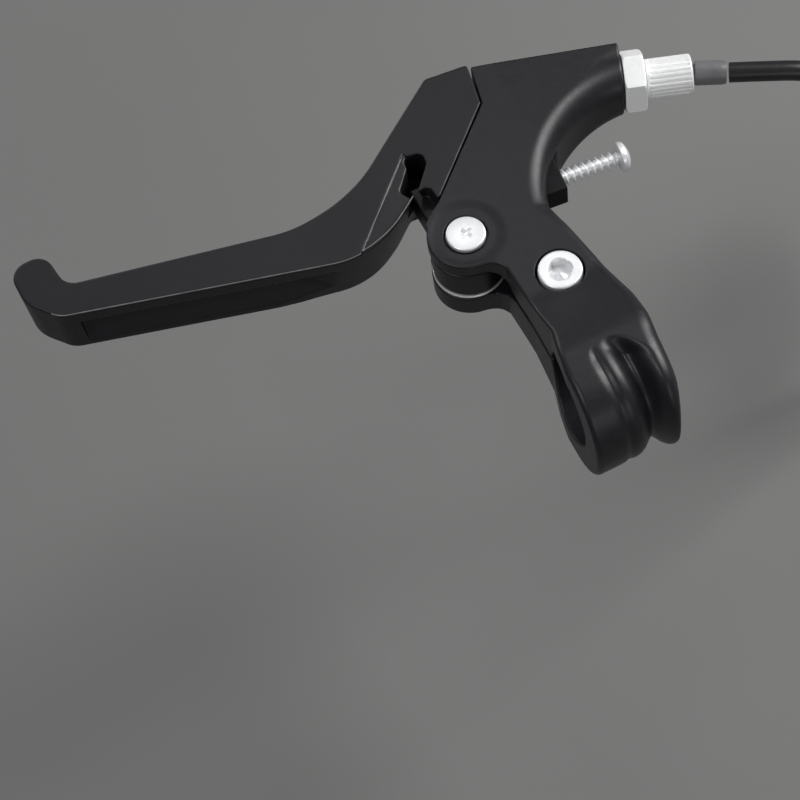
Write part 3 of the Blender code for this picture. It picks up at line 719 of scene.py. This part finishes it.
def reach_screw_field(x, y, z):
    """Coarse-threaded screw along local Z, with a cross-recessed pan head."""
    around = np.hypot(x, y)
    pitch = 1.75
    turned_by = np.arctan2(y, x) / (2 * np.pi)
    phase = np.abs(((z / pitch - turned_by) % 1.0) * 2 - 1)
    fade = 1 - ramp(z, 14.2, 15.1)
    crest = 1.35 + 0.78 * np.clip(1.25 - 1.75 * phase, 0, 1) * fade
    tip = 1 - 0.25 * ramp(-z, 15.0, 17.5)
    shank = meet((around - crest * tip) * 0.72, span(z, -17.5, 15.6), 0.2)
    dome = np.hypot(around / 1.55, z - 15.0) - 2.75
    head = meet(np.maximum(around - 3.7, 15.2 - z), dome, 0.35)
    screw = unite(shank, head, 0.15)
    return carve(screw, cross_recess(x, y, z, 17.8, 1.6, 1.95, 0.45), 0.12)


def reach_nut_field(x, y, z):
    s, n = turn(x, y, REACH, REACH_ANGLE)
    body = meet(block(s + 4.0, n, 4.0, 5.1, 0.35), np.abs(z) - 3.3, 0.35)
    return carve(body, np.hypot(n, z) - 2.6, 0.3)


def lock_ring_field(x, y, z):
    """Hexagonal ring along local Z with turned chamfers and a threaded bore."""
    around = np.hypot(x, y)
    ring = meet(polygon_prism(x, y, 6.95, 6, 17.8), span(z, 0.3, 5.6), 0.25)
    cone = (around + 1.3 * np.abs(z - 2.95) - 10.75) / 1.64
    ring = meet(ring, cone, 0.2)
    thread = 4.32 + 0.12 * np.cos(2 * np.pi * z)
    lead = around - thread - np.maximum(np.abs(z - 2.95) - 2.15, 0)
    return carve(ring, np.minimum(around - thread, lead), 0.2)


def barrel_field(x, y, z):
    """Threaded shank and ribbed barrel along local Z, hollow for the wire."""
    around = np.hypot(x, y)
    angle = np.arctan2(y, x)
    rib = 0.5 + 0.5 * np.cos(24 * angle)
    ribs = 4.9 - 0.62 * np.clip(1.25 - 2.1 * rib, 0, 1) * ramp(z, 6.6, 7.3) * (1 - ramp(z, 16.2, 16.9))
    barrel = meet((around - ribs) * 0.85, span(z, 5.9, 17.3), 0.45)
    phase = np.abs(((z - angle / (2 * np.pi)) % 1.0) * 2 - 1)
    shank = meet((around - 3.68 - 0.3 * (1 - phase)) * 0.85, span(z, -14.0, 6.2), 0.3)
    both = unite(barrel, shank, 0.2)
    throat = 2.6 + 0.9 * ramp(z, 16.6, 17.6)
    return carve(both, around - throat, 0.2)


def ferrule_field(x, y, z):
    s, n = turn(x, y, ADJUSTER, ADJUSTER_ANGLE)
    spigot = meet(np.hypot(n, z) - 2.2, span(s, BARREL_END - 4.0, BARREL_END + 2.5), 0.3)
    foot = np.array(ADJUSTER) + unit(ADJUSTER_ANGLE) * BARREL_END
    s, n = turn(x, y, foot, FERRULE_ANGLE)
    radius = 3.0 - 0.15 * ramp(s, 7.0, 8.4)
    sleeve = meet(np.hypot(n, z) - radius, span(s, 0.75, 8.5), 0.3)
    return unite(spigot, sleeve, 0.2)


def strands(name, origin, direction, start, end, radius, count, pitch):
    """Twisted wire: a lobed section that turns along its length, with closed ends."""
    around, rings = count * 6, max(8, int((end - start) / 0.45))
    angle = 2 * np.pi * np.arange(around) / around
    levels = np.linspace(start, end, rings)
    lobes = radius * (0.9 + 0.1 * np.abs(np.cos(count * angle / 2)))
    along = np.array((*direction, 0.0))
    side = np.array((-along[1], along[0], 0.0))
    up = np.array((0.0, 0.0, 1.0))
    points = []
    for level in levels:
        twist = angle + 2 * np.pi * level / pitch
        offset = lobes[:, None] * (np.cos(twist)[:, None] * side + np.sin(twist)[:, None] * up)
        points.append(np.array((*origin, 0.0)) + along * level + offset)
    points.append((np.array((*origin, 0.0)) + along * start)[None])
    points.append((np.array((*origin, 0.0)) + along * end)[None])
    faces = []
    for k in range(rings - 1):
        for i in range(around):
            j = (i + 1) % around
            a, b = k * around, (k + 1) * around
            faces.append((a + i, a + j, b + j, b + i))
    first, last = rings * around, rings * around + 1
    for i in range(around):
        j = (i + 1) % around
        faces.append((j, i, first))
        faces.append(((rings - 1) * around + i, (rings - 1) * around + j, last))
    mesh = bpy.data.meshes.new(name)
    mesh.from_pydata((np.concatenate(points) * MM).tolist(), [], faces)
    mesh.shade_smooth()
    obj = bpy.data.objects.new(name, mesh)
    bpy.context.collection.objects.link(obj)
    return obj


def bezier(name, points, radius, resolution=6):
    """Round cord through points in millimetres."""
    curve = bpy.data.curves.new(name, "CURVE")
    curve.dimensions = "3D"
    curve.bevel_depth = radius * MM
    curve.bevel_resolution = 6
    curve.resolution_u = resolution
    curve.use_fill_caps = True
    spline = curve.splines.new("BEZIER")
    spline.bezier_points.add(len(points) - 1)
    for target, point in zip(spline.bezier_points, points):
        target.co = Vector([float(v) for v in point]) * MM
        target.handle_left_type = target.handle_right_type = "AUTO"
    obj = bpy.data.objects.new(name, curve)
    bpy.context.collection.objects.link(obj)
    return obj


# ---------------------------------------------------------------- housing


def smooth_route(points, steps):
    """Points on a Catmull-Rom curve through the route's own points."""
    route = [np.array(p, float) for p in [points[0]] + list(points) + [points[-1]]]
    result = []
    for i in range(1, len(route) - 2):
        a, b, c, d = route[i - 1 : i + 3]
        for step in range(steps):
            t = step / steps
            bend = (2 * a - 5 * b + 4 * c - d) * t**2 + (3 * b - a - 3 * c + d) * t**3
            result.append((2 * b + (c - a) * t + bend) / 2)
    result.append(route[-2])
    return result


def coil_entry():
    """Where the housing meets the first turn of the coil."""
    return np.array((HOUSING_ROUTE[-1][0], HOUSING_ROUTE[-1][1], COIL_HEIGHT))


def coil_axes():
    """Directions across the coil and along its axis."""
    across = np.array(COIL_DIRECTION) / np.linalg.norm(COIL_DIRECTION)
    return across, np.cross(across, (0, 0, 1))


def housing_points():
    """The housing's centreline: the drop, two turns that lie side by side, and the tail."""
    points = smooth_route(HOUSING_ROUTE, 3)
    across, axis = coil_axes()
    steps = 20
    hub = coil_entry() + across * COIL_RADIUS
    lane = 2 * HOUSING_RADIUS + 0.06
    for i in range(COIL_TURNS * steps + 1):
        angle = 2 * np.pi * i / steps
        place = hub - across * COIL_RADIUS * math.cos(angle)
        place = place - np.array((0, 0, 1)) * COIL_RADIUS * math.sin(angle)
        points.append(place + axis * lane * i / steps)
    last = points[-1]
    for height in (-78.0, -88.0, -98.0, -105.0, TAIL_BOTTOM):
        points.append(np.array((last[0], last[1], height)))
    return points


# ---------------------------------------------------------------- building


def build_hardware(zinc, dull, casting, block_black_painted_shade, grey, nylon):
    px, py = PIVOT
    bx, by = CLAMP_BOLT
    low, high = (px - 5, py - 5, -9.2), (px + 5, py + 5, 10)
    settle(solid("pivot_screw_detail", pivot_screw_field, low, high, 0.16),
           "bracket", zinc, "pivot_screw")
    low, high = (bx - 5.4, by - 5.4, -8.8), (bx + 5.4, by + 5.4, 10.2)
    settle(solid("clamp_bolt_detail", clamp_bolt_field, low, high, 0.17),
           "bracket", zinc, "clamp_bolt")
    low, high = (px - 4.8, py - 4.8, -9.2), (px + 4.8, py + 4.8, -6.6)
    settle(solid("pivot_nut_detail", nut_field(PIVOT, 4.0, 2.8, -9.2, -6.6), low, high, 0.18),
           "bracket", zinc, "pivot_nut")
    low, high = (bx - 5.9, by - 5.9, -9.2), (bx + 5.9, by + 5.9, -5.1)
    settle(solid("clamp_nut_detail", nut_field(CLAMP_BOLT, 5.0, 3.2, -9.2, -5.1), low, high, 0.2),
           "bracket", zinc, "clamp_nut")
    settle(turned("washer_near", chamfered(3.95, 7.4, 4.42, 4.98, 0.12), 96, PIVOT),
           "bracket", zinc, "pivot_washer_near")
    settle(turned("washer_far", chamfered(3.95, 9.0, -4.98, -4.32, 0.14), 96, PIVOT),
           "bracket", zinc, "pivot_washer_far")
    settle(turned("bushing", chamfered(2.65, 3.6, -5.0, 5.0, 0.25), 72, PIVOT),
           "bracket", dull, "pivot_bushing")
    build_spring(dull)
    low, high = (4.5, 47, -3.5), (15, 60, 3.5)
    settle(solid("reach_nut_detail", reach_nut_field, low, high, 0.3),
           "bracket", block_black_painted_shade, "reach_nut")
    settle(solid("reach_screw_detail", reach_screw_field, (-3.8, -3.8, -17.6), (3.8, 3.8, 18.0),
                 0.14, REACH, REACH_ANGLE), "reach_screw", zinc, "reach_screw")
    pad = chamfered(0.4, 2.2, -20.6, -17.8, 0.5)
    settle(along_axis(turned("reach_pad_detail", pad, 48, (0, 0)), REACH, REACH_ANGLE),
           "reach_pad", nylon, "reach_pad")
    settle(solid("lock_ring_detail", lock_ring_field, (-8.2, -8.2, 0.2), (8.2, 8.2, 5.7),
                 0.2, ADJUSTER, ADJUSTER_ANGLE), "lock_ring", casting, "lock_ring")
    settle(solid("adjuster_detail", barrel_field, (-5.1, -5.1, -14.1), (5.1, 5.1, 17.5),
                 0.16, ADJUSTER, ADJUSTER_ANGLE), "adjuster", casting, "adjuster_barrel")
    settle(solid("ferrule_detail", ferrule_field, (51, 56, -3.1), (66, 68, 3.1), 0.2),
           "cable_stop", grey, "housing_ferrule")
    nipple = chamfered(0.3, 3.45, -3.3, 3.3, 0.35)
    settle(turned("nipple_detail", nipple, 64, NIPPLE), "cable_end", dull, "cable_nipple")
    direction = unit(ADJUSTER_ANGLE + WIRE_RISE)
    settle(strands("wire_strands", NIPPLE, direction, 3.8, 49.0, 0.75, 9, 9.0),
           "cable_end", dull, "inner_wire")


def along_axis(obj, origin, angle):
    """Turn a piece made about Z so that it lies along an angle in the XY plane."""
    c, s = unit(angle)
    for vert in obj.data.vertices:
        x, y, z = vert.co
        vert.co = (origin[0] * MM + y * s + z * c, origin[1] * MM - y * c + z * s, x)
    return obj


def build_spring(dull):
    points = []
    px, py = PIVOT
    for y in (38.0, 40.5, 43.0):
        points.append((px + 5.7, y, 1.15))
    for i in range(34):
        angle = 2 * math.pi * i / 16
        height = 1.15 + 1.2 * i / 16
        points.append((px + 5.7 * math.cos(angle), py + 5.7 * math.sin(angle), height))
    spring = bezier("return_spring_detail", points, 0.45, 4)
    settle(spring, "bracket", dull, "return_spring")


def coil_tie_field(x, y, z):
    """Cable tie seen in the coil's own axes: X across the coil, Z along its axis."""
    x = x - COIL_RADIUS
    loop = np.abs(block(x, z, 3.05 + 0.6, 7.95 + 0.6, 1.2)) - 0.6
    strap = meet(loop, np.abs(y) - 1.8, 0.3)
    head = meet(block(x - 3.4, y, 1.5, 2.4, 0.4), np.abs(z - 5.0) - 2.2, 0.4)
    head = carve(head, block(x - 3.6, y, 0.55, 1.5), 0.1)
    return unite(strap, head, 0.2)


def build_tie(nylon):
    points, faces, normals = surface(coil_tie_field, (23.5, -2.8, -9.5), (34.5, 2.8, 9.5), 0.3)
    across, axis = coil_axes()
    basis = np.stack((across, np.cross(axis, across), axis))
    shift = axis * (2 * HOUSING_RADIUS)
    points = points @ basis + coil_entry() + across * COIL_RADIUS + shift
    return settle(add_mesh("tie_band", points, faces, normals @ basis),
                  "cable_stop", nylon, "coil_tie")


def build_ends(dull, aluminium, base):
    down = base[2]
    centre = (float(base[0]), float(base[1]))
    ferrule = [(0.9, down - 0.5), (1.0, down - 0.3), (2.6, down - 0.3), (2.9, down - 0.6),
               (2.9, down - 4.0), (2.75, down - 4.2), (2.75, down - 4.6), (2.9, down - 4.8),
               (2.9, down - 9.4), (2.5, down - 10.6), (1.9, down - 11.0), (0.9, down - 11.0)]
    end = settle(turned("end_ferrule_detail", ferrule[::-1], 64, centre),
                 "cable_stop", dull, "end_ferrule")
    cap = [(0.05, down - 11.3), (0.75, down - 11.3), (0.75, down - 20.0), (1.15, down - 20.0),
           (1.3, down - 20.2), (1.3, down - 23.0), (1.05, down - 23.6), (1.3, down - 24.2),
           (1.3, down - 26.2), (1.05, down - 26.8), (1.3, down - 27.4), (1.25, down - 30.0),
           (0.6, down - 31.0), (0.05, down - 31.0)]
    tip = settle(turned("crimp_cap_detail", cap[::-1], 48, centre),
                 "cable_stop", aluminium, "wire_crimp_cap")
    return end, tip


def build_housing(rubber, dull, aluminium, nylon):
    points = housing_points()
    housing = bezier("housing", points, HOUSING_RADIUS)
    settle(housing, "cable_stop", rubber, "brake_housing", "housing_coil", "housing_tail")
    pieces = [build_tie(nylon), *build_ends(dull, aluminium, points[-1])]


def area_light(name, place, power, size):
    data = bpy.data.lights.new(name, "AREA")
    data.energy = power
    data.shape = "RECTANGLE"
    data.size, data.size_y = size
    light = bpy.data.objects.new(name, data)
    bpy.context.collection.objects.link(light)
    light.location = place
    way = Vector(LIGHT_TARGET) - Vector(place)
    light.rotation_mode = "QUATERNION"
    light.rotation_quaternion = way.to_track_quat("-Z", "Y")


def build_studio():
    world = bpy.data.worlds.new("studio")
    world.use_nodes = True
    world.node_tree.nodes["Background"].inputs["Color"].default_value = (0.9, 0.92, 0.95, 1.0)
    world.node_tree.nodes["Background"].inputs["Strength"].default_value = 0.22
    bpy.context.scene.world = world
    bpy.context.scene.view_settings.view_transform = "Standard"
    area_light("heads", (0.10, 0.44, 0.72), 0.34, (0.16, 0.16))
    area_light("bay", (0.66, 0.10, 0.52), 7.5, (0.26, 0.70))
    area_light("left", (-0.46, -0.05, 0.66), 1.5, (0.25, 0.25))
    area_light("front", (0.00, -0.80, 0.30), 0.9, (0.60, 0.25))
    area_light("back", (-0.25, 0.90, 0.35), 1.5, (0.60, 0.25))
    corners = np.array([(-1, -1, 0), (1, -1, 0), (1, 1, 0), (-1, 1, 0)]) * FLOOR_HALF / MM
    corners[:, 2] = FLOOR_HEIGHT
    floor = add_mesh("floor", corners, np.array([(0, 1, 2, 3)]))
    floor.data.materials.append(floor_material())


def main():
    make_camera()
    bracket_black = resin(
        "black_resin", (0.0075, 0.0075, 0.0095), (0.0095, 0.0095, 0.0120), 0.4, 3200, 0.02, 0.4
    )
    lever_black = resin(
        "lever_resin", (0.0065, 0.0065, 0.0080), (0.0080, 0.0080, 0.0098), 0.43, 3600, 0.016, 0.4
    )
    # Black reach-nut block; its colour is set darker than the bracket's as painted shade on a face
    # turned away from the lamps
    block_black_painted_shade = resin(
        "black_block", (0.004, 0.004, 0.005), (0.006, 0.006, 0.007), 0.6, 3000, 0.02, 0.2
    )
    grey = resin("grey_sleeve", (0.12, 0.12, 0.125), (0.14, 0.14, 0.145), 0.38, 2600, 0.008)
    rubber = resin("housing_skin", (0.006, 0.006, 0.007), (0.010, 0.010, 0.011), 0.36, 1800, 0.01)
    nylon = resin("white_nylon", (0.66, 0.66, 0.63), (0.74, 0.74, 0.70), 0.45, 2200, 0.01)
    zinc = metal(
        "zinc_steel", (0.88, 0.89, 0.90), (0.93, 0.94, 0.95), 0.34, 1500, 0.002, metallic=0.55
    )
    dull = metal("dull_steel", (0.46, 0.47, 0.49), (0.60, 0.61, 0.62), 0.36, 1300)
    casting = metal(
        "cast_aluminium", (0.95, 0.95, 0.95), (0.98, 0.98, 0.98), 0.4, 1100, 0.002, metallic=0.35
    )
    build_housing(rubber, dull, casting, nylon)
    bracket = solid("bracket_body", bracket_field, (-25, -19, -19), (44, 90, 19), 0.42)
    settle(bracket, "bracket", bracket_black, "bracket")
    lever = solid("lever_body", lever_field, (-115, 36, -9.5), (8, 91, 9.5), 0.42)
    settle(lever, "lever", lever_black, "lever_blade")
    # Light grey resin for those cords: painted highlights standing in for edge shine on the black
    # lever
    build_painted_highlights(resin("lever_resin", (0.10, 0.10, 0.105), (0.16, 0.16, 0.165), 0.3, 3000, 0.004))
    build_hardware(zinc, dull, casting, block_black_painted_shade, grey, nylon)
    build_studio()


main()
bpy.context.view_layer.update()
